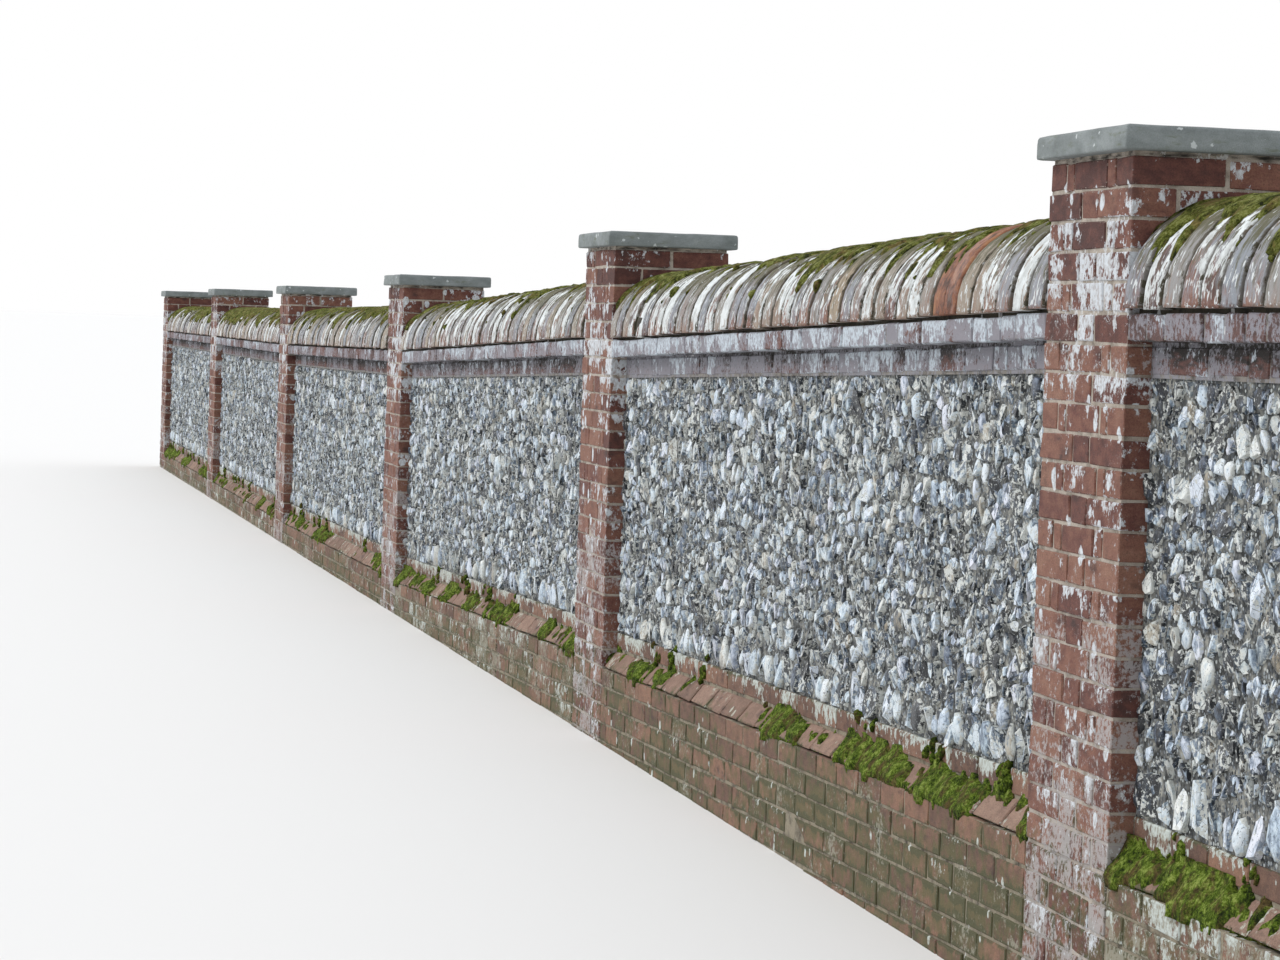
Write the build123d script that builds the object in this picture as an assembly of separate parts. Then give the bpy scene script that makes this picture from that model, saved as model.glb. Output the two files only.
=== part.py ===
from build123d import *
import os

# A flint boundary wall: seven brick piers with stone caps, and six bays of flint between them.
# Millimetres, +Z up. The wall runs along X and its front faces -Y.
# The origin is under the middle pier, on the level that the lowest footing stands on.

# The brick, and the joints that every width and height is counted in
BRICK_LENGTH = 225.0
BRICK_WIDTH = 107.5
JOINT = 10.0
COURSE = 72.0

# How far each pier stands above the lowest one, from the -X end
PIER_LEVELS = [10.0, 5.0, 0.0, 30.0, 150.0, 270.0, 300.0]

# Stretchers in the clear width between two piers
STRETCHERS_PER_BAY = 22.5

# Courses from the bottom up, counted at the lowest pier
PLINTH_COURSES = 2
CHAMFER_COURSES = 1
BASE_COURSES = 1
FLINT_COURSES = 14
FRIEZE_COURSES = 1
STRING_COURSES = 1
PIER_HEAD_COURSES = 5

# The half-round coping and the mortar that it is bedded on
COPING_OVERHANG = 15.0
COPING_EDGE = 10.0
COPING_BED = 12.0
COPING_BED_SETBACK = 28.0

# The flat stone cap of a pier and its mortar bed
CAP_THICKNESS = 60.0
CAP_OVERHANG = 32.0
CAP_ARRIS = 4.0
CAP_BED = 14.0
CAP_BED_SETBACK = 6.0

# Plan sizes that follow from the brick: a pier is two and a half bricks by two,
# and the wall between the piers is one and a half bricks thick
pier_width = 2 * BRICK_LENGTH + BRICK_WIDTH + 2 * JOINT
pier_depth = 2 * BRICK_LENGTH + JOINT
panel_depth = BRICK_LENGTH + JOINT + BRICK_WIDTH
bay_clear = STRETCHERS_PER_BAY * (BRICK_LENGTH + JOINT) + JOINT
bay_pitch = bay_clear + pier_width

# Heights at the lowest pier
plinth_top = PLINTH_COURSES * COURSE
chamfer_top = plinth_top + CHAMFER_COURSES * COURSE
base_top = chamfer_top + BASE_COURSES * COURSE
flint_top = base_top + FLINT_COURSES * COURSE
frieze_top = flint_top + FRIEZE_COURSES * COURSE
string_top = frieze_top + STRING_COURSES * COURSE
pier_top = string_top + PIER_HEAD_COURSES * COURSE

bay_count = len(PIER_LEVELS) - 1
pier_centres = [(place - bay_count / 2) * bay_pitch for place in range(bay_count + 1)]


def block(width, depth, bottom, top, centre):
    """A rectangular block centred on the wall's line, from one height to another."""
    middle = Pos(centre, 0, (bottom + top) / 2)
    return middle * Box(width, depth, top - bottom)


def pier(place):
    """A brick pier down to the footing level, with the mortar bed of its cap on top."""
    head = pier_top + PIER_LEVELS[place]
    shaft = block(pier_width, pier_depth, 0, head, pier_centres[place])
    bed_width = pier_width - 2 * CAP_BED_SETBACK
    bed_depth = pier_depth - 2 * CAP_BED_SETBACK
    bed = block(bed_width, bed_depth, head, head + CAP_BED, pier_centres[place])
    return shaft + bed


def pier_cap(place):
    """A flat slab with worn arrises that oversails the pier all round."""
    bottom = pier_top + PIER_LEVELS[place] + CAP_BED
    slab_width = pier_width + 2 * CAP_OVERHANG
    slab_depth = pier_depth + 2 * CAP_OVERHANG
    slab = block(slab_width, slab_depth, bottom, bottom + CAP_THICKNESS, pier_centres[place])
    return fillet(slab.edges(), CAP_ARRIS)


def run_of_wall(outline, bay):
    """A cross-section carried from one pier's face to the next, rising or falling with them."""
    start = pier_centres[bay] + pier_width / 2
    rise = PIER_LEVELS[bay + 1] - PIER_LEVELS[bay]
    section = Pos(start, 0, PIER_LEVELS[bay]) * (Plane.YZ * make_face(outline))
    return Solid.extrude(section.face(), Vector(bay_clear, 0, rise))


def band(depth, bottom, top):
    """The cross-section of a plain band of the wall."""
    side = depth / 2
    return Polyline((-side, bottom), (side, bottom), (side, top), (-side, top), close=True)


def plinth(bay):
    """The footing courses, the chamfered course and the flush course under the flint."""
    wide = pier_depth / 2
    narrow = panel_depth / 2
    buried = -max(PIER_LEVELS) - COURSE
    outline = Polyline(
        (-wide, buried),
        (wide, buried),
        (wide, plinth_top),
        (narrow, chamfer_top),
        (narrow, base_top),
        (-narrow, base_top),
        (-narrow, chamfer_top),
        (-wide, plinth_top),
        close=True,
    )
    return split(run_of_wall(outline, bay), Plane.XY, keep=Keep.TOP)


def flint_panel(bay):
    """The flint work, set back from the pier faces by half the difference in thickness."""
    return run_of_wall(band(panel_depth, base_top, flint_top), bay)


def frieze(bay):
    """One brick course flush with the flint, in the shadow of the string course."""
    return run_of_wall(band(panel_depth, flint_top, frieze_top), bay)


def string_course(bay):
    """One projecting brick course, flush with the pier faces."""
    return run_of_wall(band(pier_depth, frieze_top, string_top), bay)


def coping(bay):
    """A half-round coping on a mortar bed that is set back under its lower edges."""
    side = pier_depth / 2 + COPING_OVERHANG
    bed_side = side - COPING_BED_SETBACK
    underside = string_top + COPING_BED
    springing = underside + COPING_EDGE
    foot = Polyline(
        (-side, springing),
        (-side, underside),
        (-bed_side, underside),
        (-bed_side, string_top),
        (bed_side, string_top),
        (bed_side, underside),
        (side, underside),
        (side, springing),
    )
    barrel = ThreePointArc((side, springing), (0, springing + side), (-side, springing))
    return run_of_wall(foot + barrel, bay)


os.makedirs("parts", exist_ok=True)

for place in range(bay_count + 1):
    export_step(pier(place), f"parts/pier_{place + 1}.step")
    export_step(pier_cap(place), f"parts/pier_cap_{place + 1}.step")

for bay in range(bay_count):
    export_step(plinth(bay), f"parts/plinth_{bay + 1}.step")
    export_step(flint_panel(bay), f"parts/flint_panel_{bay + 1}.step")
    export_step(frieze(bay), f"parts/frieze_{bay + 1}.step")
    export_step(string_course(bay), f"parts/string_course_{bay + 1}.step")
    export_step(coping(bay), f"parts/coping_{bay + 1}.step")
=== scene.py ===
import itertools
import math

import bpy
import numpy as np
from mathutils import Matrix, Vector


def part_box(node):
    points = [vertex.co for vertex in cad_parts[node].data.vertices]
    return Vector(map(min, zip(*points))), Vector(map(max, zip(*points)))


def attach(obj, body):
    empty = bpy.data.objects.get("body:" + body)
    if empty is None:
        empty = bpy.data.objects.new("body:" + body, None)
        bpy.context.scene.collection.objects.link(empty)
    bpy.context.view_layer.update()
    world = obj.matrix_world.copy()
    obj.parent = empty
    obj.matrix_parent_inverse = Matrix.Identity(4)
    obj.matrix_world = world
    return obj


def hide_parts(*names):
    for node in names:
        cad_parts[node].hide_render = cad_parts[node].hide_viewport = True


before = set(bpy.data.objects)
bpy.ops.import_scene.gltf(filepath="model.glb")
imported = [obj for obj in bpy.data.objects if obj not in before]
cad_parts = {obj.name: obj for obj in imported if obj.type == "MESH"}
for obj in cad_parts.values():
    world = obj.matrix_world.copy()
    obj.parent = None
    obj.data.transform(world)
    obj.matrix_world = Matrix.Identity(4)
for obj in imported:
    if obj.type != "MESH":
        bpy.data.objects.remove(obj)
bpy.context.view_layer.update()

# The flint boundary wall, in metres: brick piers with stone caps, and bays of flint between brick bands.
# Everything is laid out level first. Then each point is lifted to the line that joins the pier levels.

# The brick and its joints
BRICK_LENGTH = 0.225
BRICK_WIDTH = 0.1075
JOINT = 0.010
COURSE = 0.072
BED_JOINT = 0.0075
HEADER = BRICK_WIDTH + JOINT

# How far the joints lie behind the brick faces, how deep a facing brick is drawn, and how far from the edge
# its worn arris counts as
JOINT_SETBACK = 0.0035
FACING_DEPTH = 0.045
ON_ARRIS = 0.003

# How much bricks lie out of place: along a row, out of the face, upwards, and any way in a pier. A brick of
# which less than the sliver would stand above the footing is left out.
WANDER_ALONG, WANDER_OUT, WANDER_UP, WANDER_IN_PIER = 0.0014, 0.0009, 0.0007, 0.0008
SLIVER = 0.006


# Setting out, read from the frame

pier_count = sum(name.startswith("pier_cap_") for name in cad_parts)
bay_count = pier_count - 1
pier_boxes = [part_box(f"pier_{n + 1}") for n in range(pier_count)]
pier_levels = np.array([high.z for low, high in pier_boxes])
pier_levels -= pier_levels.min()

pier_faces = np.array([[low.x, high.x] for low, high in pier_boxes])
pier_half_depth = pier_boxes[0][1].y


def level_at(x):
    """The lift of the wall at x: flat through a pier, and a straight slope from one pier to the next."""
    return np.interp(x, pier_faces.ravel(), np.repeat(pier_levels, 2))


def bay_span(bay):
    """Where a bay begins and ends, at the faces of its two piers."""
    return pier_faces[bay, 1], pier_faces[bay + 1, 0]


def band(name):
    """(bottom, top, half depth) of a band of the wall, as it stands beside the lowest pier."""
    low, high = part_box(f"{name}_1")
    ends = pier_levels[:2]
    return low.z - ends.min(), high.z - ends.max(), high.y


BASE_TOP, FLINT_TOP, PANEL_HALF = band("flint_panel")
FRIEZE_TOP = band("frieze")[1]
STRING_TOP = band("string_course")[1]
CHAMFER_TOP = BASE_TOP - COURSE
PLINTH_TOP = CHAMFER_TOP - COURSE
CROWN, COPING_HALF = band("coping")[1:]
CAP_BOTTOM, CAP_TOP = (corner.z - pier_levels[0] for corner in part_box("pier_cap_1"))
CAP_BED = 0.014
CAP_BED_INSET = 0.006
PIER_TOP = CAP_BOTTOM - CAP_BED

# The places of a piece's finishes in its list
BRICK, MORTAR, CHAMFER = 0, 1, 2

# What differs from bay to bay, from the far end to the near end: how readily lichen grows under the coping
# and on the plinth, how much of the coping and of the chamfer the moss covers, how much more of it the
# chamfer has at its far end, how much darker the flints are, and how pale the coping bricks
LIME = [0.5, 0.6, 0.5, 0.66, 0.85, 0.44]
FOOT_LIME = [0.5, 0.6, 0.4, 0.6, 0.2, 0.95]
CROWN_MOSS = [0.62, 0.60, 0.42, 0.34, 0.46, 0.52]
LEDGE_MOSS = [0.36, 0.38, 0.40, 0.45, 0.38, 0.55]
LEDGE_MOSS_AT_START = [0, 0, 0, 0, 0, 0.35]
FLINT_DARKER = [0, 0, 0, 0, 0, 0.09]
COPING_PALENESS = [1, 1, 1, 1, 1, 0.7]

# The orange patch in the coping: its bay, and how far its middle is from the near end of that bay
ORANGE_BAY, ORANGE_FROM_END = 4, 0.81


# Numpy helpers

def lattice_noise(points, size, seed=0):
    """Smooth noise from -1 to 1. Random values stand on a cubic lattice whose cells have that size,
    and between the eight corners of a cell they blend with the weight 3t^2 - 2t^3 along each axis."""
    cells = np.asarray(points) / size
    base = np.floor(cells).astype(np.int64)
    part = cells - base
    blend = part * part * (3 - 2 * part)
    total = np.zeros(cells.shape[:-1])
    for corner in itertools.product((0, 1), repeat=3):
        at = base + corner
        mixed = at[..., 0] * 73856093 ^ at[..., 1] * 19349663 ^ at[..., 2] * 83492791
        mixed = mixed ^ (seed + 1) * 2654435761
        mixed = (mixed ^ mixed >> 15) * 2246822519 & 0xFFFFFFFF
        mixed = (mixed ^ mixed >> 13) * 3266489917 & 0xFFFFFFFF
        value = (mixed & 0xFFFF) / 32767.5 - 1
        total += value * np.where(corner, blend, 1 - blend).prod(axis=-1)
    return total


def rough_noise(points, size, seed=0, octaves=3):
    """Lattice noise added up over octaves, each half as large and half as strong as the one before."""
    total = sum(lattice_noise(points, size / 2**n, seed + n) / 2**n for n in range(octaves))
    return total / (2 - 2 ** (1 - octaves))


def points_at(x, y, z):
    """Points from their three coordinates, each of them an array or one number for all points."""
    return np.stack(np.broadcast_arrays(x, y, z), axis=-1)


def tube_faces(stations, around):
    """Quads between the rings of a tube, and the two ends as one face each, all looking outwards."""
    k = np.arange(around)
    ahead = (k + 1) % around
    ring = np.arange(stations - 1)[:, None] * around
    quads = np.stack([ring + k, ring + ahead, ring + around + ahead, ring + around + k], axis=-1)
    ends = np.stack([k[::-1], (stations - 1) * around + k])
    return quads.reshape(-1, 4), ends


def repeated(faces, count, step):
    """The faces of one shape, for that count of shapes with step points each."""
    offsets = (step * np.arange(count))[:, None, None]
    return [(rows + offsets).reshape(-1, rows.shape[1]) for rows in faces]


def new_object(name, data):
    """An object in the scene with that mesh, lamp or camera."""
    made = bpy.data.objects.new(name, data)
    bpy.context.scene.collection.objects.link(made)
    return made


class Piece:
    """Shapes collected for one object. Each shape brings its points, its faces and what its finish reads."""

    def __init__(self):
        self.parts = {}
        self.count = 0

    def keep(self, **arrays):
        """Adds each array to the list of its name."""
        for key, array in arrays.items():
            self.parts.setdefault(key, []).append(array)

    def add(self, points, faces, finish=0, tone=0.5, rim=0.0, sides=None, smooth=False):
        """points is any array of points. faces is a list of arrays of places in it, a row for each face.
        sides is (distances from the low edges, from the high edges) at each corner of each face."""
        flat = np.asarray(points, float).reshape(-1, 3)
        self.keep(points=flat, tone=np.broadcast_to(tone, flat.shape),
                  rim=np.broadcast_to(np.ravel(rim), len(flat)))
        smooth = np.broadcast_to(smooth, len(faces))
        for n, rows in enumerate(faces):
            near, far = sides[n] if sides else (np.ones((rows.size, 2)), np.ones((rows.size, 2)))
            self.keep(corners=(rows + self.count).ravel(), sizes=np.full(len(rows), rows.shape[1]),
                      finish=np.full(len(rows), finish), smooth=np.full(len(rows), smooth[n]),
                      low_side=np.reshape(near, (-1, 2)), high_side=np.reshape(far, (-1, 2)))
        self.count += len(flat)

    def make(self, node, kind, finishes):
        """The mesh object: lifted to the wall's level, cut off at the footing, and standing for its node
        unless it is moss, which only lies on one."""
        parts = {key: np.concatenate(arrays) for key, arrays in self.parts.items()}
        points, corners, sizes = parts["points"], parts["corners"], parts["sizes"]
        parts["height"] = points[:, 2].copy()
        points[:, 2] = np.maximum(points[:, 2] + level_at(points[:, 0]), 0)
        mesh = bpy.data.meshes.new(f"{node}_{kind}")
        mesh.vertices.add(len(points))
        mesh.vertices.foreach_set("co", points.ravel())
        mesh.loops.add(len(corners))
        mesh.loops.foreach_set("vertex_index", corners.astype(np.int32))
        mesh.polygons.add(len(sizes))
        mesh.polygons.foreach_set("loop_start", (np.cumsum(sizes) - sizes).astype(np.int32))
        mesh.polygons.foreach_set("material_index", parts["finish"].astype(np.int32))
        mesh.polygons.foreach_set("use_smooth", parts["smooth"].astype(bool))
        for key, data_type, domain, field in (
                ("tone", "FLOAT_VECTOR", "POINT", "vector"), ("height", "FLOAT", "POINT", "value"),
                ("rim", "FLOAT", "POINT", "value"), ("low_side", "FLOAT2", "CORNER", "vector"),
                ("high_side", "FLOAT2", "CORNER", "vector")):
            layer = mesh.attributes.new(key, data_type, domain)
            layer.data.foreach_set(field, parts[key].ravel().astype(np.float32))
        mesh.update(calc_edges=True)
        mesh.validate()
        piece = new_object(mesh.name, mesh)
        for finish in finishes:
            mesh.materials.append(finish)
        replaced = [] if kind == "moss" else [node]
        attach(piece, "root")
        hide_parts(*replaced)


# Bricks as closed blocks with worn arrises

SIGNS = np.array(list(itertools.product((-1, 1), repeat=3)))


def block_template():
    """The faces of a block whose eight corners are each cut to a triangle, with a strip along every edge.
    Point 3c + a belongs to corner c and lies out on the face that looks along axis a."""
    def outward(rows):
        loop = np.array(rows)
        centre = SIGNS[loop // 3].astype(float)
        centre[np.arange(len(loop)), loop % 3] *= 1.2
        across = np.cross(centre[1] - centre[0], centre[2] - centre[1])
        return loop if across @ centre.mean(axis=0) > 0 else loop[::-1]

    quads = []
    for axis in range(3):
        for sign in (-1, 1):
            ring = [c for c in range(8) if SIGNS[c][axis] == sign]
            ring = [ring[0], ring[1], ring[3], ring[2]]
            quads.append(outward([3 * c + axis for c in ring]))
    for axis, other in ((0, 1), (0, 2), (1, 2)):
        along = 3 - axis - other
        for c in range(8):
            if SIGNS[c][along] == -1:
                d = c + 4 // 2**along
                quads.append(outward([3 * c + axis, 3 * d + axis, 3 * d + other, 3 * c + other]))
    triangles = [outward([3 * c, 3 * c + 1, 3 * c + 2]) for c in range(8)]
    return np.array(quads), np.array(triangles)


BLOCK_QUADS, BLOCK_TRIANGLES = block_template()
BLOCK_CORNER = np.repeat(SIGNS, 3, axis=0)
BLOCK_FACE = np.tile(np.eye(3), (8, 1))
BLOCK_POINTS = len(BLOCK_CORNER)


def add_blocks(piece, low, high, finish, rng, arris=0.0028, wander=0.0011, tone=None, shape=None):
    """Blocks from their lowest and highest corners. Each face is drawn in by the arris along its edges,
    every corner wanders a little by itself, and shape(points) may bend the blocks after that."""
    n = len(low)
    middle, half = (low + high) / 2, (high - low) / 2
    worn = arris * rng.uniform(0.7, 1.6, (n, BLOCK_POINTS, 1))
    drawn_in = (1 - BLOCK_FACE) * worn
    corner_shift = np.repeat(rng.normal(0, wander, (n, 8, 3)), 3, axis=1)
    reach = BLOCK_CORNER * (half[:, None] - drawn_in)
    points = middle[:, None] + reach + np.clip(corner_shift, -3 * wander, 3 * wander)
    if tone is None:
        tone = rng.random((n, 3))
    sides = []
    for template in (BLOCK_QUADS, BLOCK_TRIANGLES):
        axis = template % 3
        flat = (axis == axis[:, :1]).all(axis=1)[None, :, None, None]
        across = np.stack([np.where(axis == 0, 1, 0), np.where(axis == 2, 1, 2)], axis=-1)[None]
        at = points[:, template]
        near = np.take_along_axis(at - low[:, None, None], across, axis=3)
        far = np.take_along_axis(high[:, None, None] - at, across, axis=3)
        sides.append((np.where(flat, near, ON_ARRIS), np.where(flat, far, ON_ARRIS)))
    if shape:
        points = shape(points)
    faces = repeated((BLOCK_QUADS, BLOCK_TRIANGLES), n, BLOCK_POINTS)
    piece.add(points, faces, finish, np.repeat(tone, BLOCK_POINTS, axis=0), sides=sides)


def add_core(piece, start, end, half_depth, bottom, top):
    """A plain closed box of mortar behind the faces."""
    corner = np.where(SIGNS > 0, (end, half_depth, top), (start, -half_depth, bottom))
    faces = [[0, 1, 3, 2], [4, 6, 7, 5], [0, 4, 5, 1], [2, 3, 7, 6], [0, 2, 6, 4], [1, 5, 7, 3]]
    piece.add(corner, [np.array(faces)], MORTAR)


# Setting out of the bricks

def pier_plan(headers_outside, half_width, half_depth):
    """Plan boxes (x0, x1, y0, y1) of one course of a pier. One course has stretchers along the front with
    a header between them, the next has headers at the corners with a closer beside each."""
    low_x, low_y = -half_width, -half_depth
    if headers_outside:
        inner = low_x + HEADER
        closer = half_width - BRICK_WIDTH - JOINT - BRICK_LENGTH / 2 - JOINT
        quarter = [
            (low_x, low_x + BRICK_WIDTH, low_y, low_y + BRICK_LENGTH),
            (inner, inner + closer, low_y, low_y + BRICK_WIDTH),
        ]
        middle = [(-BRICK_LENGTH / 2, BRICK_LENGTH / 2, low_y, low_y + BRICK_WIDTH)]
        sides = []
    else:
        quarter = [(low_x, low_x + BRICK_LENGTH, low_y, low_y + BRICK_WIDTH)]
        middle = [(-BRICK_WIDTH / 2, BRICK_WIDTH / 2, low_y, low_y + BRICK_LENGTH)]
        sides = [(low_x, low_x + BRICK_WIDTH, -BRICK_LENGTH / 2, BRICK_LENGTH / 2)]
    boxes = []
    for x0, x1, y0, y1 in quarter:
        boxes += [(x0, x1, y0, y1), (-x1, -x0, y0, y1), (x0, x1, -y1, -y0), (-x1, -x0, -y1, -y0)]
    for x0, x1, y0, y1 in middle:
        boxes += [(x0, x1, y0, y1), (x0, x1, -y1, -y0)]
    for x0, x1, y0, y1 in sides:
        boxes += [(x0, x1, y0, y1), (-x1, -x0, y0, y1)]
    return np.array(boxes)


def row_of_bricks(start, end, row, rng, mixed=False):
    """Where the bricks of one row begin and end: stretchers with a half brick at one end, at the other in
    the next row, or stretchers and headers mixed by chance. The joints wander by a millimetre or two."""
    halves = int(round((end - start - JOINT) / HEADER))
    if mixed:
        pairs = halves // 3
        lengths = np.array([BRICK_LENGTH, BRICK_WIDTH] * pairs + [BRICK_WIDTH] * (halves - 3 * pairs))
        rng.shuffle(lengths)
    else:
        lengths = np.array([BRICK_LENGTH] * (halves // 2) + [BRICK_WIDTH] * (halves % 2))
        lengths = lengths[::-1] if row % 2 else lengths
    begins = start + JOINT + np.concatenate([[0], np.cumsum(lengths + JOINT)[:-1]])
    ends = begins + lengths
    wander = rng.normal(0, WANDER_ALONG, len(begins) - 1)
    begins[1:] += wander
    ends[:-1] += wander
    return begins, ends


def face_row(piece, bay, row, bottom, top, half_depth, rng, finish=BRICK, depth=FACING_DEPTH, lime=0.5,
             mixed=False, **how):
    """One row of facing bricks on both sides of a bay. lime is how readily lichen grows on them, 0 to 1."""
    for side in (-1, 1):
        x0, x1 = row_of_bricks(*bay_span(bay), row, rng, mixed)
        standing = (top + level_at((x0 + x1) / 2)) > SLIVER
        x0, x1 = x0[standing], x1[standing]
        outer = side * (half_depth + rng.normal(0, WANDER_OUT, len(x0)))
        inner = side * (half_depth - depth)
        low = points_at(x0, np.minimum(outer, inner), bottom)
        high = points_at(x1, np.maximum(outer, inner), top)
        low[:, 2] += rng.normal(0, WANDER_UP, len(x0))
        tone = rng.random((len(x0), 3))
        tone[:, 1:] += 1.6 * (lime - 0.5)
        add_blocks(piece, low, high, finish, rng, tone=tone, **how)


# Piers and bands

def build_pier(piece, place, rng):
    """A pier in its two alternating courses, all round, on a core of mortar and under the bed of its cap."""
    low, high = pier_boxes[place]
    centre = (low.x + high.x) / 2
    foot = -pier_levels[place]
    for course in range(math.ceil((PIER_TOP - foot) / COURSE)):
        x0, x1, y0, y1 = pier_plan(course % 2 == 0, (high.x - low.x) / 2, pier_half_depth).T
        top = PIER_TOP - course * COURSE
        joint_wander = rng.normal(0, WANDER_IN_PIER, (len(x0), 3))
        lows = points_at(centre + x0, y0, top - COURSE + BED_JOINT) + joint_wander
        highs = points_at(centre + x1, y1, top) + joint_wander
        add_blocks(piece, lows, highs, BRICK, rng, arris=0.0024, wander=0.0012)
    core = (JOINT_SETBACK, foot, PIER_TOP - 0.001)
    bed = (CAP_BED_INSET, PIER_TOP - 0.004, CAP_BOTTOM)
    for inset, bottom, top in (core, bed):
        add_core(piece, low.x + inset, high.x - inset, pier_half_depth - inset, bottom, top)


def sloped(points):
    """The chamfer: a point moves in towards the wall as it rises, by the whole set-back over the course."""
    rise = np.clip((points[..., 2] - PLINTH_TOP) / COURSE, 0, 1)
    outside = np.abs(points[..., 1]) > PANEL_HALF - 0.02
    moved = points.copy()
    moved[..., 1] -= np.sign(points[..., 1]) * (pier_half_depth - PANEL_HALF) * rise * outside
    return moved


def build_plinth(piece, bay, start, end, rng):
    """Plain rows down to the footing, the chamfered row, and the flush row under the flint."""
    deepest = -max(pier_levels[bay], pier_levels[bay + 1])
    for row in range(math.ceil((PLINTH_TOP - deepest) / COURSE)):
        top = PLINTH_TOP - row * COURSE
        bottom = top - COURSE + BED_JOINT
        face_row(piece, bay, row, bottom, top, pier_half_depth, rng, lime=FOOT_LIME[bay])
    face_row(piece, bay, 1, PLINTH_TOP + 0.007, CHAMFER_TOP - 0.001, pier_half_depth, rng, CHAMFER,
             depth=0.09, arris=0.004, shape=sloped)
    face_row(piece, bay, 0, CHAMFER_TOP + JOINT, BASE_TOP, PANEL_HALF, rng)
    add_core(piece, start, end, pier_half_depth - JOINT_SETBACK, deepest, PLINTH_TOP)
    add_core(piece, start, end, PANEL_HALF - JOINT_SETBACK, PLINTH_TOP - 0.01, BASE_TOP - 0.001)


def build_frieze(piece, bay, start, end, rng):
    """The single row under the string course, flush with the flint."""
    face_row(piece, bay, bay, FLINT_TOP + JOINT, FRIEZE_TOP, PANEL_HALF, rng, lime=LIME[bay], mixed=True)
    add_core(piece, start, end, PANEL_HALF - JOINT_SETBACK, FLINT_TOP, FRIEZE_TOP + JOINT)


def build_string_course(piece, bay, start, end, rng):
    """The projecting row: its soffit shows over the frieze and its top under the coping."""
    bottom = FRIEZE_TOP + JOINT
    face_row(piece, bay, 0, bottom, STRING_TOP, pier_half_depth, rng, lime=LIME[bay], mixed=True,
             depth=BRICK_WIDTH, arris=0.0035, wander=0.0015)
    add_core(piece, start, end, pier_half_depth - JOINT_SETBACK, bottom + 0.004, STRING_TOP - 0.002)


# Flint

# The mean height and width of a flint, and how many times as tall a row of large ones and the lowest row are
FLINT_TALL, FLINT_WIDE = 0.053, 0.0468
LARGE_ROW, LOWEST_ROW = 1.4, 2.2

# The mortar between two flints, how far it lies behind the bricks, how far the foot of a flint is buried in
# it and how far the top of one may stand out of it
FLINT_GAP = 0.006
MORTAR_BEHIND_FLINT = 0.008
FLINT_BURIED, FLINT_PROUD = -0.006, 0.021

# The rings of a flint, as (share of its reach, share of its rise): a rounded whole one, and a knapped one
WHOLE_RINGS = [(1.0, -0.35), (0.88, 0.66), (0.60, 1.0)]
KNAPPED_RINGS = [(1.0, -0.35), (0.84, 1.0)]


def flint_rows(length, height, rng):
    """Centres and sizes of flints laid in rough rows, and which of them are pale. Rows differ in height, the
    lowest and one more are of tall ones, and in each row the widths are drawn by chance and fill it."""
    heights = FLINT_TALL * rng.lognormal(0, 0.2, int(height / FLINT_TALL) - 2)
    large = np.zeros(len(heights), bool)
    large[[0, rng.integers(6, 13)]] = True
    heights[large] = LARGE_ROW * FLINT_TALL
    heights[0] = LOWEST_ROW * FLINT_TALL
    heights *= height / heights.sum()
    centres, sizes, pale = [], [], []
    seed = int(rng.integers(1000))
    for bottom, tall, is_large in zip(np.cumsum(heights) - heights, heights, large):
        lowest = bottom == 0
        mean = FLINT_WIDE * (tall / FLINT_TALL) ** 0.4
        widths = mean * rng.lognormal(0, 0.55 if lowest else 0.42, int(round(length / mean)))
        widths *= length / widths.sum()
        x = np.cumsum(widths) - widths / 2
        z = bottom + tall * (0.5 + rng.normal(0, 0.08 if lowest else 0.28, len(x)))
        group = lattice_noise(points_at(x, z, 0), 0.35, seed)
        centres.append(np.stack([x + rng.normal(0, 0.1, len(x)) * widths, z], axis=1))
        sizes.append(np.sqrt(widths * tall) * rng.lognormal(0, 0.24, len(x)))
        chance = (0.5 if lowest else 0.12 if is_large else 0.0) + 0.32 * np.clip(group, -0.3, 1)
        pale.append(rng.random(len(x)) < chance)
    return np.concatenate(centres), np.concatenate(sizes), np.concatenate(pale)


def settle(centres, sizes, length, height):
    """Flints shift until they fit: in five rounds, where two centres are closer than 0.6 of their mean size,
    both move apart."""
    room = np.minimum(0.4 * sizes[:, None], 0.02)
    for _ in range(5):
        gap, distance, nearest = neighbours(centres, 8)
        distance = np.sqrt(distance)
        wanted = 0.3 * (sizes[:, None] + sizes[nearest])
        push = np.clip(wanted - distance, 0, 0.01) / np.maximum(distance, 1e-4)
        centres = centres - 0.5 * (gap * push[..., None]).sum(axis=1)
        centres = np.clip(centres, room, [length, height] - room)
    return centres


def neighbours(centres, count):
    """Gaps, squared distances and places of each flint's nearest neighbours."""
    gap = centres[None] - centres[:, None]
    distance = (gap**2).sum(axis=2)
    np.fill_diagonal(distance, np.inf)
    nearest = np.argpartition(distance, count, axis=1)[:, :count]
    gap = np.take_along_axis(gap, nearest[..., None], axis=1)
    return gap, np.take_along_axis(distance, nearest, axis=1), nearest


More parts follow.
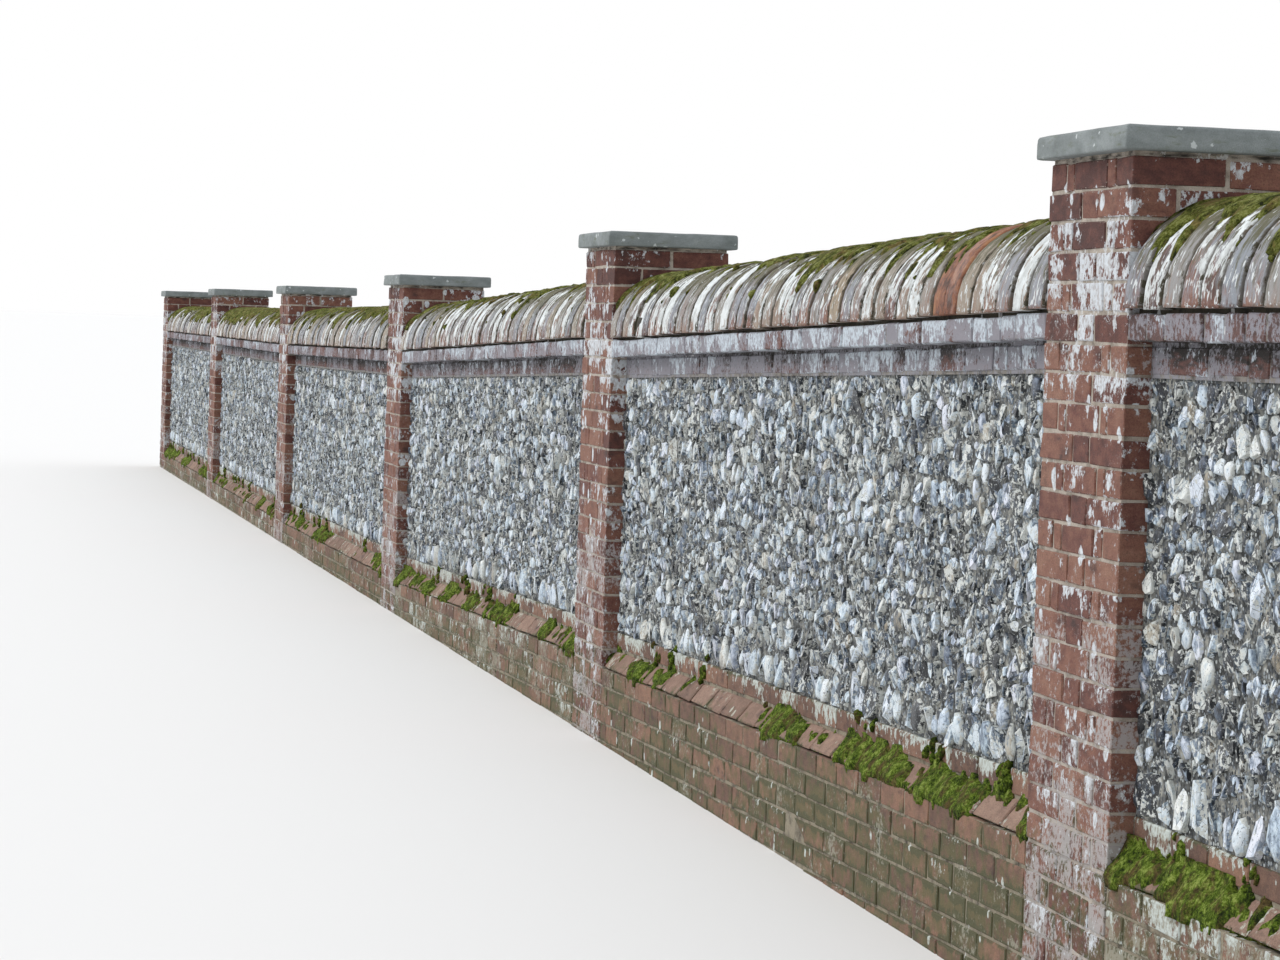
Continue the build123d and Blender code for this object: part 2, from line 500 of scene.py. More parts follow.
def flint_outlines(centres, sizes, whole, length, height, rng, directions):
    """How far each flint reaches in each direction: to where its share of the gap to a neighbour ends, as in
    a map of who is nearest, less half the mortar. In a whole one each reach blends with those beside it."""
    n = len(centres)
    gap, distance, nearest = neighbours(centres, 14)
    share = sizes[:, None] / (sizes[:, None] + sizes[nearest])
    spread = rng.uniform(-0.3, 0.3, (n, directions))
    turn = 2 * np.pi * (np.arange(directions) + rng.random((n, 1)) + spread) / directions
    ray = np.stack([np.cos(turn), np.sin(turn)], axis=-1)
    facing = np.einsum("njc,nkc->njk", gap, ray)
    shared = (share * distance)[..., None] / np.maximum(facing, 1e-4)
    reach = np.where(facing > 1e-4, shared, np.inf).min(axis=1)
    edges = np.array([length, height])
    room = np.where(ray > 0, (edges - centres)[:, None], centres[:, None]) / np.maximum(np.abs(ray), 1e-3)
    limit = room.min(axis=2)
    reach = np.minimum(reach, limit)
    reach = np.minimum(reach, 1.6 * np.median(reach, axis=1, keepdims=True))
    rounded = reach / 2 + (np.roll(reach, 1, axis=1) + np.roll(reach, -1, axis=1)) / 4
    reach = np.where(whole[:, None], rounded, reach * rng.uniform(0.80, 1.14, reach.shape))
    reach = np.minimum(reach, limit) - FLINT_GAP / 2 * rng.uniform(0.4, 1.8, (n, 1))
    return np.maximum(reach, 0.005), ray


def add_flints(piece, start, end, side, rng, directions, whole_rings, darker):
    """One face of flint work. A knapped flint has a flat top that leans as it broke, and a whole one a
    rounded top. A pale one narrows to one end like a tooth, which in the lowest row is its upper end."""
    length, height = end - start, FLINT_TOP - BASE_TOP
    centres, sizes, pale = flint_rows(length, height, rng)
    centres = settle(centres, sizes, length, height)
    n = len(centres)
    whole = rng.random(n) < np.where(pale, 0.4, 0.10)
    reach, ray = flint_outlines(centres, sizes, whole, length, height, rng, directions)
    rise = np.where(whole, 0.26, 0.15) * reach.mean(axis=1) * rng.uniform(0.4, 1.4, n) + 0.004
    lean = rng.normal(0, 1, (n, 2)) * np.where(whole, 0.08, 0.20)[:, None]
    tone = np.stack([rng.random(n), rng.random(n), whole * 1.0], axis=1)
    tone[:, 0] = np.where(pale, rng.uniform(0.66, 1.0, n), tone[:, 0] - darker)
    narrowing = np.where(pale, 0.65, 0.25) * rng.uniform(0.6, 1.2, n) * rng.choice([-1, 1], n)
    in_lowest_row = centres[:, 1] < 0.09
    narrowing = np.where(in_lowest_row, np.abs(narrowing), narrowing)
    for kind, rings in ((whole, whole_rings), (~whole, KNAPPED_RINGS)):
        measures = (values[kind] for values in (centres, reach, ray, rise, lean, narrowing))
        points = flint_rings(*measures, rings, rng)
        points[..., 0] = np.clip(start + points[..., 0], start + 0.001, end - 0.001)
        points[..., 1] = side * (PANEL_HALF - MORTAR_BEHIND_FLINT + points[..., 1])
        points[..., 2] = np.clip(BASE_TOP + points[..., 2], BASE_TOP, FLINT_TOP)
        one = [rows[:, ::side] for rows in tube_faces(len(rings), directions)]
        step = len(rings) * directions
        rim = np.broadcast_to([[ring[0]] for ring in rings], points.shape[:3])
        piece.add(points, repeated(one, kind.sum(), step), tone=np.repeat(tone[kind], step, axis=0), rim=rim,
                  smooth=bool(whole[kind].all()))


def flint_rings(centres, reach, ray, rise, lean, narrowing, rings, rng):
    """Points (x, out, z) of flints, ring by ring: each ring is the outline drawn in to its share, lifted to
    its share of the rise and tipped by the lean, one half of it narrower, and the last one shifted."""
    last = len(rings) - 1
    ridge = rng.normal(0, 0.16, (len(reach), 1, 2)) * reach.mean(axis=1)[:, None, None]
    rows = []
    for ring, (spread, lift) in enumerate(rings):
        rough = 1 + rng.normal(0, 0.09, reach.shape) * (ring > 0)
        flat = ray * (reach * spread * rough)[..., None] + ridge * (ring == last)
        towards = flat[..., 1] * np.sign(narrowing)[:, None]
        share = np.clip(towards / towards.max(axis=1, keepdims=True), 0, 1)
        flat[..., 0] *= 1 - np.abs(narrowing)[:, None] * share
        broken = rng.normal(0, 0.0014, reach.shape)
        top = rise[:, None] * lift + (flat * lean[:, None]).sum(axis=2) + broken
        out = np.clip(top if lift > 0 else FLINT_BURIED, FLINT_BURIED, FLINT_PROUD)
        across = centres[:, None] + flat
        rows.append(points_at(across[..., 0], out, across[..., 1]))
    return np.stack(rows, axis=1)


def build_flint_panel(piece, bay, start, end, rng):
    """Flint work on both faces of a bay, in a core of mortar. The flints of the back have fewer faces."""
    darker = FLINT_DARKER[bay]
    add_flints(piece, start, end, -1, rng, directions=7, whole_rings=WHOLE_RINGS, darker=darker)
    add_flints(piece, start, end, 1, rng, directions=6, whole_rings=KNAPPED_RINGS, darker=darker)
    add_core(piece, start, end, PANEL_HALF - MORTAR_BEHIND_FLINT, BASE_TOP, FLINT_TOP)


# Coping and its moss

# The width of a coping brick with its joint, the joint alone, and how high the brick's straight foot is
COPING_UNIT = 0.1177
COPING_JOINT = 0.006
COPING_EDGE = 0.010

# How much a coping brick is out of line, how far the mortar lies behind its curve and its bed behind the
# pier faces, how deep the moss starts under the curve, and how thick moss is that counts as full grown
COPING_WANDER = 0.0022
MORTAR_BEHIND_COPING = 0.011
COPING_BED_SETBACK = 0.028
MOSS_BURIED = 0.006
FULL_MOSS = 0.03

COPING_AXIS = CROWN - COPING_HALF
COPING_FOOT = COPING_AXIS - COPING_EDGE


def coping_pitch(start, end):
    """The width of a coping brick and its joint, such that a whole number of them fills the bay."""
    return (end - start) / round((end - start) / COPING_UNIT)


def half_round(radius, foot):
    """The profile (y, z) of a half-round: up from its foot, round by y = -r cos a, z = axis + r sin a with a
    point every 10 degrees, and down."""
    angle = np.linspace(0, np.pi, 19)
    radius = radius[..., None]
    y = np.concatenate([-radius, -radius * np.cos(angle), radius], axis=-1)
    z = np.concatenate([0 * radius, radius * np.sin(angle), 0 * radius], axis=-1) + COPING_AXIS
    z[..., 0] = z[..., -1] = foot
    return y, z


def build_coping(piece, bay, start, end, rng):
    """Half-round coping bricks set side by side. Each is the half-round carried along its length, drawn in
    at both ends to a worn arris, and set a little out of line with its neighbours."""
    pitch = coping_pitch(start, end)
    count = round((end - start) / pitch)
    width = (pitch - COPING_JOINT) * rng.uniform(0.97, 1.03, count)
    middle = start + pitch * (np.arange(count) + 0.5)
    from_end = np.tile([0, 0.0022, 0.009], (count, 1))
    along = np.concatenate([from_end, width[:, None] - from_end[:, ::-1]], axis=1)
    rings = along.shape[1]
    drawn_in = np.array([0.0125, 0.0035, 0, 0, 0.0035, 0.0125]) * rng.uniform(0.7, 1.3, (count, rings))
    radius = COPING_HALF - 0.002 - drawn_in + rng.normal(0, COPING_WANDER, (count, 1)).clip(-0.005, 0.001)
    y, z = half_round(radius, COPING_FOOT)
    x = (middle - width / 2)[:, None, None] + along[..., None]
    turn = rng.normal(0, 0.012, (count, 1, 1))
    points = points_at(x + turn * y, y + rng.normal(0, COPING_WANDER, (count, 1, 1)),
                       z + rng.normal(0, COPING_WANDER, (count, 1, 1)).clip(-0.006, 0.002))
    out = points_at(0, y, z - COPING_AXIS)
    out /= np.linalg.norm(out, axis=-1, keepdims=True)
    chips = np.clip(rough_noise(points, 0.05, 9) - 0.42, 0, 0.3)
    bumps = 0.0022 * rough_noise(points, 0.06, 3) - 0.03 * chips
    points += out * (bumps - 0.001)[..., None]
    around = y.shape[-1]
    faces = repeated(tube_faces(rings, around), count, rings * around)
    arc = np.arange(around) * np.pi * COPING_HALF / (around - 1)
    on_surface = np.stack([points[..., 0], np.broadcast_to(arc, y.shape)], axis=-1).reshape(-1, 2)
    to_joints = np.stack([along, width[:, None] - along], axis=-1)
    to_joints = np.repeat(to_joints.reshape(-1, 2), around, axis=0)
    sides = [(on_surface[rows.ravel()], to_joints[rows.ravel()]) for rows in faces]
    tone = rng.random((count, 3))
    tone[:, 0] *= COPING_PALENESS[bay]
    tone[:, 1] += 0.5 * (LIME[bay] - 0.5)
    tone[:, 2] = (bay == ORANGE_BAY) & (np.abs(middle - (end - ORANGE_FROM_END)) < pitch)
    tone = np.repeat(tone, rings * around, axis=0)
    piece.add(points, faces, BRICK, tone, sides=sides, smooth=[True, False])

    y, z = half_round(np.full(2, COPING_HALF - MORTAR_BEHIND_COPING), COPING_FOOT + 0.003)
    piece.add(points_at([[start], [end]], y, z), tube_faces(2, around), MORTAR)
    add_core(piece, start, end, pier_half_depth - COPING_BED_SETBACK, STRING_TOP - 0.004, COPING_FOOT + 0.006)


def add_crust(piece, grid, out, thickness, inner):
    """Moss as a closed skin: a grid of points raised along its outward direction by the thickness, and an
    inner line of points under it, buried in the wall, that closes it into a tube along the wall."""
    ring = np.concatenate([grid + out * thickness[..., None], inner], axis=1)
    rim = np.concatenate([thickness, np.zeros(inner.shape[:2])], axis=1) / FULL_MOSS
    piece.add(ring, tube_faces(*ring.shape[:2]), rim=rim, smooth=True)


def add_cushions(piece, place, out, size, rng):
    """Small round cushions of moss at their places, each standing along its outward direction: rings at
    a = -25 to 65 degrees, of radius size * cos a and lift 0.8 size * sin a, longer down the slope."""
    count, rings, around = len(size), 3, 7
    turns = np.arange(around) * 2 * np.pi / around
    rise, turn = np.meshgrid(np.radians([-25, 20, 65]), turns, indexing="ij")
    ball = points_at(np.cos(rise) * np.cos(turn), 1.3 * np.cos(rise) * np.sin(turn), 0.8 * np.sin(rise))
    ball = ball * size[:, None, None, None] * rng.uniform(0.72, 1.28, (count, rings, around, 1))
    axes = np.stack([points_at(1, 0, 0 * size), points_at(0, out[:, 2], -out[:, 1]), out], axis=1)
    points = place[:, None, None] + np.einsum("nrkc,ncd->nrkd", ball, axes)
    rim = np.broadcast_to([[0.0], [0.2], [0.6]], points.shape[:3])
    faces = repeated(tube_faces(rings, around), count, rings * around)
    piece.add(points, faces, tone=0.3, rim=rim, smooth=True)


def add_coping_cushions(piece, start, end, count, rng):
    """Cushions near the joints of the coping, on its front and back slopes."""
    pitch = coping_pitch(start, end)
    x = rng.uniform(start + 0.1, end - 0.1, count)
    x = start + pitch * np.round((x - start) / pitch) + rng.normal(0, 0.010, count)
    lean = np.radians(rng.uniform(22, 65, count))
    lean = np.where(rng.random(count) < 0.5, lean, np.pi - lean)
    out = points_at(0, -np.cos(lean), np.sin(lean))
    place = points_at(x, 0, COPING_AXIS) + out * (COPING_HALF - 0.004)
    add_cushions(piece, place, out, 0.005 + 0.015 * rng.random(count) ** 2, rng)


def add_foot_cushions(piece, start, end, count, rng):
    """Cushions in groups along the foot of the flint and in the corner over the chamfer, on both sides."""
    groups = rng.uniform(start + 0.2, end - 0.2, 8)
    x = np.clip(rng.choice(groups, count) + rng.normal(0, 0.036, count), start + 0.03, end - 0.03)
    side = rng.choice([-1, 1], count)
    upper = rng.random(count) < 0.7
    z = np.where(upper, BASE_TOP - 0.026, CHAMFER_TOP) + rng.normal(0, 0.017, count)
    out = points_at(0, 0.9 * side, 0.436)
    place = points_at(x, side * (PANEL_HALF - 0.002), z)
    add_cushions(piece, place, out, 0.008 + 0.012 * rng.random(count), rng)


def build_crown_moss(piece, bay, start, end, rng):
    """Moss over the crown of the coping, hanging down its joints. It is thick where the noise is high, and
    where the noise is low it sinks under the brick, so that only its patches show."""
    x = np.linspace(start + 0.004, end - 0.004, int((end - start) / 0.019))
    angle = np.radians(np.linspace(24, 156, 24))
    along, turn = np.meshgrid(x, angle, indexing="ij")
    out = points_at(0, -np.cos(turn), np.sin(turn))
    axis = points_at(along, 0, COPING_AXIS)
    grid = axis + out * (COPING_HALF - MOSS_BURIED)
    flat = points_at(along, turn * COPING_HALF, bay)
    colonies = rough_noise(flat * [1, 0.7, 1], 0.50, 11, 3)
    tufts = rough_noise(flat * [1, 0.45, 1], 0.060, 21, 3)
    crown = 1 - (np.abs(np.degrees(turn) - 90) / 60) ** 2
    joint = np.cos(2 * np.pi * (along - start) / coping_pitch(start, end))
    beside_pier = np.exp(-(end - along) / 0.45) + 0.7 * np.exp(-(along - start) / 0.3)
    cover = CROWN_MOSS[bay] - 0.95 + 0.62 * crown + 0.95 * colonies + 0.85 * tufts
    cover += 0.20 * joint + 0.42 * beside_pier
    rough = 0.004 * lattice_noise(flat, 0.045, 31) + 0.004 * lattice_noise(flat, 0.021, 32)
    thickness = np.clip(0.05 * cover - 0.003, -0.012, 0.012) + rough
    lower = axis[:, [-1, 0]] + out[:, [-1, 0]] * (COPING_HALF - MOSS_BURIED - 0.02)
    add_crust(piece, grid, out, thickness, lower)
    add_coping_cushions(piece, start, end, 60, rng)


def build_ledge_moss(piece, bay, start, end, rng):
    """Moss on the chamfer and in the corner above it, on both sides of the wall, thick and thin by noise.
    Where there is some, it is domed: 28 mm * (1 - e^(-cover / 0.2))."""
    for side, spacing, across in ((-1, 0.015, 10), (1, 0.026, 7)):
        x = np.linspace(start + 0.003, end - 0.003, int((end - start) / spacing))
        along, rise = np.meshgrid(x, np.linspace(0, 1, across), indexing="ij")
        y = pier_half_depth - 0.004 - (pier_half_depth - PANEL_HALF) * np.clip((rise - 0.12) / 0.66, 0, 1)
        z = PLINTH_TOP + np.interp(rise, [0, 0.12, 0.78, 1], [-0.02, 0.0, COURSE, COURSE + 0.03])
        lean = np.interp(rise, [0, 0.12, 0.5, 0.9, 1], [0.1, 0.5, 0.62, 0.5, 0.1]) * np.pi / 2
        out = points_at(0, side * np.cos(lean), np.sin(lean))
        grid = points_at(along, side * y, z) - out * 0.004
        flat = points_at(along, rise * 0.12, 40 + bay + 9 * side)
        colonies = rough_noise(flat, 0.34, 41, 2)
        tufts = rough_noise(flat, 0.05, 51, 3)
        ridge = 1 - (2 * rise - 1.05) ** 2
        from_pier = np.minimum(along - start, end - along)
        cover = LEDGE_MOSS[bay] - 0.95 + 0.55 * ridge + 0.95 * colonies + 0.65 * tufts
        cover += 0.45 * np.exp(-from_pier / 0.25) + LEDGE_MOSS_AT_START[bay] * np.exp(-(along - start) / 0.9)
        rough = 0.008 * lattice_noise(flat, 0.055, 61) + 0.006 * lattice_noise(flat, 0.024, 62)
        domed = np.where(cover > 0, 0.028 * (1 - np.exp(-cover / 0.2)), np.maximum(0.06 * cover, -0.012))
        thickness = domed - 0.004 + rough * (cover > -0.05)
        inner = grid[:, [-1, 0]] - out[:, [-1, 0]] * 0.02 + [0, -side * 0.025, 0]
        add_crust(piece, *(part[::-side] for part in (grid, out, thickness, inner)))
    add_foot_cushions(piece, start, end, 110, rng)


# Pier caps

def build_cap(piece, place, rng):
    """A cap: a rectangle with rounded corners, carried up a profile of (inset, height) rows from the middle
    of its underside round the arrises to the middle of its top, and weathered by noise that only cuts in.
    An inset of more than 0.05 is a share of the half width instead."""
    low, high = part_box(f"pier_cap_{place + 1}")
    half = np.array([(high.x - low.x) / 2, high.y])
    centre = np.array([(high.x + low.x) / 2, 0.0])
    thick = CAP_TOP - CAP_BOTTOM
    corner = 0.006
    inner = half - corner
    signs = np.array([[1, 1], [-1, 1], [-1, -1], [1, -1]])
    turn = np.radians(90 * np.arange(4)[:, None] + np.array([0, 30, 60, 90]))
    arcs = inner * signs[:, None] + corner * np.stack([np.cos(turn), np.sin(turn)], axis=-1)
    runs = np.linspace(arcs[:, -1], np.roll(arcs, -1, axis=0)[:, 0], 13)[1:-1].transpose(1, 0, 2)
    outline = np.concatenate([arcs, runs], axis=1).reshape(-1, 2)
    underside = [(0.9, 0), (0.3, 0), (0.008, 0), (0.0015, 0.0015)]
    edge = [(0, 0.006), (0, 0.02), (0, 0.04), (0.001, 0.053), (0.004, 0.058), (0.012, thick)]
    face = [(0.10, thick), (0.3, thick), (0.55, thick), (0.8, thick)]
    inset, height = np.array(underside + edge + face).T[..., None]
    reach = np.where(inset < 0.05, 1 - inset / half, 1 - inset)
    points = np.empty((len(inset), len(outline), 3))
    points[..., :2] = centre + outline * reach[:, None]
    points[..., 2] = CAP_BOTTOM + height
    worn = 0.5 + 0.5 * rough_noise(points + [0, 0, pier_levels[place]], 0.11, 70 + place, 3)
    chips = np.clip(rough_noise(points, 0.04, 90 + place, 3) - 0.35, 0, 1)
    cut_down = 0.004 * worn + 0.006 * chips * (reach.min(axis=1)[:, None] > 0.9)
    points[..., 2] -= (height > thick / 2) * cut_down
    away = np.sign(outline) * (np.abs(outline) > inner - 0.001)
    points[..., :2] -= away * (0.002 * worn + 0.012 * chips)[..., None]
    piece.add(points, tube_faces(len(inset), len(outline)), tone=rng.random(3), smooth=True)


# Finishes

def srgb(code):
    """An sRGB hex colour as linear values: c / 12.92 below 0.04045, else ((c + 0.055) / 1.055)^2.4."""
    parts = [int(code[n:n + 2], 16) / 255 for n in (1, 3, 5)]
    return [c / 12.92 if c < 0.04045 else ((c + 0.055) / 1.055) ** 2.4 for c in parts] + [1.0]


def add(tree, kind, sockets=None, stops=None, **settings):
    """Adds a node. settings are its own values, and sockets what enters it: a value, a hex colour, a node,
    or a pair (value, stops) for a colour ramp, whose stops are places with a hex colour or a grey value."""
    made = tree.nodes.new("ShaderNode" + kind)
    for key, value in settings.items():
        setattr(made, key, value)
    for key, value in (sockets or {}).items():
        if isinstance(value, tuple) and isinstance(value[1], list):
            value = add(tree, "ValToRGB", {"Fac": value[0]}, value[1])
        if isinstance(value, bpy.types.Node):
            value = next(output for output in value.outputs if output.enabled)
        if isinstance(value, bpy.types.NodeSocket):
            tree.links.new(value, made.inputs[key])
        else:
            made.inputs[key].default_value = srgb(value) if isinstance(value, str) else value
    if stops:
        elements = made.color_ramp.elements
        elements.remove(elements[1])
        for n, (position, colour) in enumerate(stops):
            element = elements[0] if n == 0 else elements.new(position)
            element.position = position
            element.color = srgb(colour) if isinstance(colour, str) else [colour] * 3 + [1.0]
    return made


def new_finish(name, **values):
    """A material, whose shader gets the values on its sockets, and its nodes."""
    material = bpy.data.materials.new(name)
    material.use_nodes = True
    shader = material.node_tree.nodes["Principled BSDF"]
    for key, value in values.items():
        shader.inputs[key.replace("_", " ")].default_value = value
    return material, material.node_tree


def dressed(material, colour, height, distance, strength=0.7, roughness=None):
    """The material with its colour, and a relief as deep as the distance for a height from 0 to 1."""
    tree = material.node_tree
    shader = tree.nodes["Principled BSDF"]
    bump = add(tree, "Bump", {"Height": height, "Distance": distance, "Strength": strength})
    tree.links.new(colour.outputs[2], shader.inputs["Base Color"])
    tree.links.new(bump.outputs[0], shader.inputs["Normal"])
    if roughness:
        tree.links.new(roughness.outputs[0], shader.inputs["Roughness"])
    return material


def placed(tree, stretch, moved, source=None):
    """The wall's own coordinates, or others, moved and scaled so that a step of stretch becomes 1. stretch is
    in metres, one number or three along x, y, z."""
    source = source or add(tree, "TexCoord").outputs["Object"]
    scale = [1 / size for size in np.broadcast_to(stretch, 3)]
    return add(tree, "Mapping", {"Vector": source, "Location": moved, "Scale": scale})


def patches(tree, stretch, seed, detail=3.0, rough=0.55, source=None):
    """Noise on the wall's own coordinates, or on others, with features of the size in stretch."""
    at = placed(tree, stretch, (seed * 3.7, seed * 1.3, seed * 2.1), source)
    return add(tree, "TexNoise", {"Vector": at, "Scale": 1.0, "Detail": detail, "Roughness": rough})


def cells(tree, stretch, seed, feature="F1"):
    """Cells of the size in stretch on the wall's own coordinates, each about a point placed by chance."""
    at = placed(tree, stretch, (seed * 2.9, seed * 1.7, seed * 0.7))
    return add(tree, "TexVoronoi", {"Vector": at, "Scale": 1.0, "Randomness": 1.0}, feature=feature)


def weigh(tree, first, *terms):
    """A value with others added to it, each given as (value, weight)."""
    total = first
    for value, weight in terms:
        total = add(tree, "Math", {0: value, 1: weight, 2: total}, operation="MULTIPLY_ADD")
    return total


def coat(tree, colour, over, value, low, high, most=1.0):
    """A colour with a coat over it: none where the value is below low, as full as most above high, and smooth
    between. It gives the coated colour and how full the coat is."""
    full = add(tree, "MapRange", {"Value": value, "From Min": low, "From Max": high, "To Max": most},
               interpolation_type="SMOOTHSTEP")
    return add(tree, "Mix", {0: full, 6: colour, 7: over}, data_type="RGBA"), full


def grained(tree, colour, size, seed, dark=0.5, light=1.3):
    """A colour broken up by grain of that size, dark to light times as bright. It gives the grain too."""
    grain = patches(tree, size, seed, 3.0, 0.75)
    factor = (grain, [(0.3, dark), (0.5, 1.0), (0.72, light)])
    return add(tree, "Mix", {0: 0.85, 6: colour, 7: factor}, data_type="RGBA", blend_type="MULTIPLY"), grain


def by_height(tree, stops):
    """A grey value by the height above the foot of the wall's lowest pier, in metres, up to 2."""
    height = add(tree, "Attribute", attribute_name="height")
    half = add(tree, "Math", {0: height.outputs["Fac"], 1: 0.5}, operation="MULTIPLY")
    return (half, [(at / 2, value) for at, value in stops])


def tone_of(tree, name="tone"):
    """The three values that each brick, flint or side brings along, as the outputs of one node."""
    stored = add(tree, "Attribute", attribute_name=name)
    return add(tree, "SeparateXYZ", {0: stored.outputs["Vector"]}).outputs


def edge_distance(tree):
    """How far a point of a brick's face is from the nearest edge, in metres."""
    near, far = tone_of(tree, "low_side"), tone_of(tree, "high_side")
    low = add(tree, "Math", {0: near[0], 1: near[1]}, operation="MINIMUM")
    high = add(tree, "Math", {0: far[0], 1: far[1]}, operation="MINIMUM")
    return add(tree, "Math", {0: low, 1: high}, operation="MINIMUM")


def weathered(tree, colour, cover, own, white):
    """What grows on the brickwork, over a colour, by height: a thin grey film, broken up like fine spray,
    then white crust lichen that hangs down from the top of each brick, and single round spots of it."""
    spray = patches(tree, (0.014, 0.014, 0.016), 4, 3.0, 0.75)
    clumps = patches(tree, (0.11, 0.11, 0.10), 9, 4.0, 0.6)
    broad = patches(tree, (0.6, 0.6, 0.25), 16, 2.0)
    film = by_height(tree, cover["film"])
    film = weigh(tree, spray, (clumps, 0.6), (film, 0.4), (own[1], 0.17), (broad, 0.4))
    colour, _ = coat(tree, colour, cover["grey"], film, 1.375, 1.515, 0.8)
    streaks = patches(tree, (0.024, 0.024, 0.032), 10, 4.0, 0.7)
    lichen = weigh(tree, streaks, (clumps, 0.8), (by_height(tree, cover["crust"]), 0.42), (own[2], 0.22))
    top = tone_of(tree, "high_side")
    hang = add(tree, "MapRange", {"Value": top[1], "From Max": 0.05, "To Min": 0.05, "To Max": -0.035})
    body = patches(tree, (0.010, 0.010, 0.012), 12, 2.0, 0.6)
    white = (body, [(0.32, cover["grey"]), (0.56, white)])
    colour, crust = coat(tree, colour, white, weigh(tree, lichen, (hang, 1.0)), 1.18, 1.245, 0.95)
    drops = cells(tree, (0.055, 0.055, 0.075), 2)
    ragged = patches(tree, (0.01, 0.01, 0.02), 14, 2.0)
    chance = add(tree, "SeparateColor", {0: drops.outputs["Color"]})
    few = by_height(tree, cover["drops"])
    near = weigh(tree, drops.outputs["Distance"], (ragged, 0.16), (few, -0.3), (chance, 0.85))
    colour, _ = coat(tree, colour, white, near, 0.26, 0.21)
    return colour, crust


def painted_shade_under_overhang(tree, colour, dark, cover):
    """A colour with dark runs over it by height, as painted shade under an overhang: the top of the frieze
    under the string course, and the bed under a cap.
    """
    painted_shade_mask = weigh(tree, patches(tree, (0.05, 0.05, 0.012), 5), (by_height(tree, cover["damp_and_painted_shade"]), 0.6))
    return coat(tree, colour, dark, painted_shade_mask, 0.6, 0.95)[0]


def brick_finish(name, clays, cover, fire=0.55, white="#d0d0ce", lime="#a2968b"):
    """Hand-moulded facing brick, burnt in a clamp: each brick has its own red, mottled by its place in the
    fire, rough and dull. Lime from the joints smears over its edges, and lichen and algae grow by height."""
    material, tree = new_finish(name, Roughness=0.9, IOR=1.5)
    own = tone_of(tree)
    mottle = patches(tree, (0.05, 0.05, 0.035), 1, 5.0, 0.65)
    deep = by_height(tree, cover["deep"])
    pick = weigh(tree, 0.46 - 0.6 - fire / 2, (mottle, 1.2), (own[0], fire), (deep, -0.2))
    clay = (pick, clays)
    colour, grain = grained(tree, clay, 0.004, 2)
    soot = patches(tree, (0.13, 0.13, 0.07), 3, 4.0, 0.6)
    colour, _ = coat(tree, colour, "#3f2c29", soot, 0.54, 0.76)
    # Painted shade under the overhangs: the top of the frieze under the string course, and the top of a pier
    # under its cap.
    colour = painted_shade_under_overhang(tree, colour, "#2b2624", cover)
    algae = patches(tree, (0.05, 0.05, 0.06), 6, 5.0, 0.7)
    broad = patches(tree, (0.5, 0.5, 0.2), 17, 2.0)
    algae = weigh(tree, algae, (broad, 0.6), (by_height(tree, cover["green"]), 0.5))
    colour, _ = coat(tree, colour, "#555430", algae, 1.07, 1.34, 0.75)
    ragged = patches(tree, 0.011, 8)
    edge = edge_distance(tree)
    colour, _ = coat(tree, colour, lime, weigh(tree, edge, (ragged, -0.016)), -0.0062, -0.0092)
    in_joints = weigh(tree, algae, (edge, -14.0), (ragged, 0.3))
    colour, _ = coat(tree, colour, "#43452a", in_joints, 1.19, 1.29, 0.75)
    colour, crust = weathered(tree, colour, cover, own, white)
    return dressed(material, colour, weigh(tree, mottle, (grain, 0.5), (crust, 0.15)), 0.006)


def mortar_finish(name, body, dark, cover):
    """Lime mortar with coarse sand, struck and weathered back: pale, crumbly and stained in blotches, with
    painted shade under the overhangs.
    """
    material, tree = new_finish(name, Roughness=0.95, IOR=1.45)
    blotches = patches(tree, (0.05, 0.05, 0.04), 11, 4.0)
    body = (blotches, [(0.3, dark), (0.55, body)])
    colour, sand = grained(tree, body, 0.003, 13, 0.6, 1.2)
    # Painted shade under the overhangs: the joints at the top of the frieze, and the bed under a cap.
    colour = painted_shade_under_overhang(tree, colour, "#2b2824", cover)
    colour, _ = weathered(tree, colour, cover, tone_of(tree), "#d0d0ce")
    return dressed(material, colour, sand, 0.003)


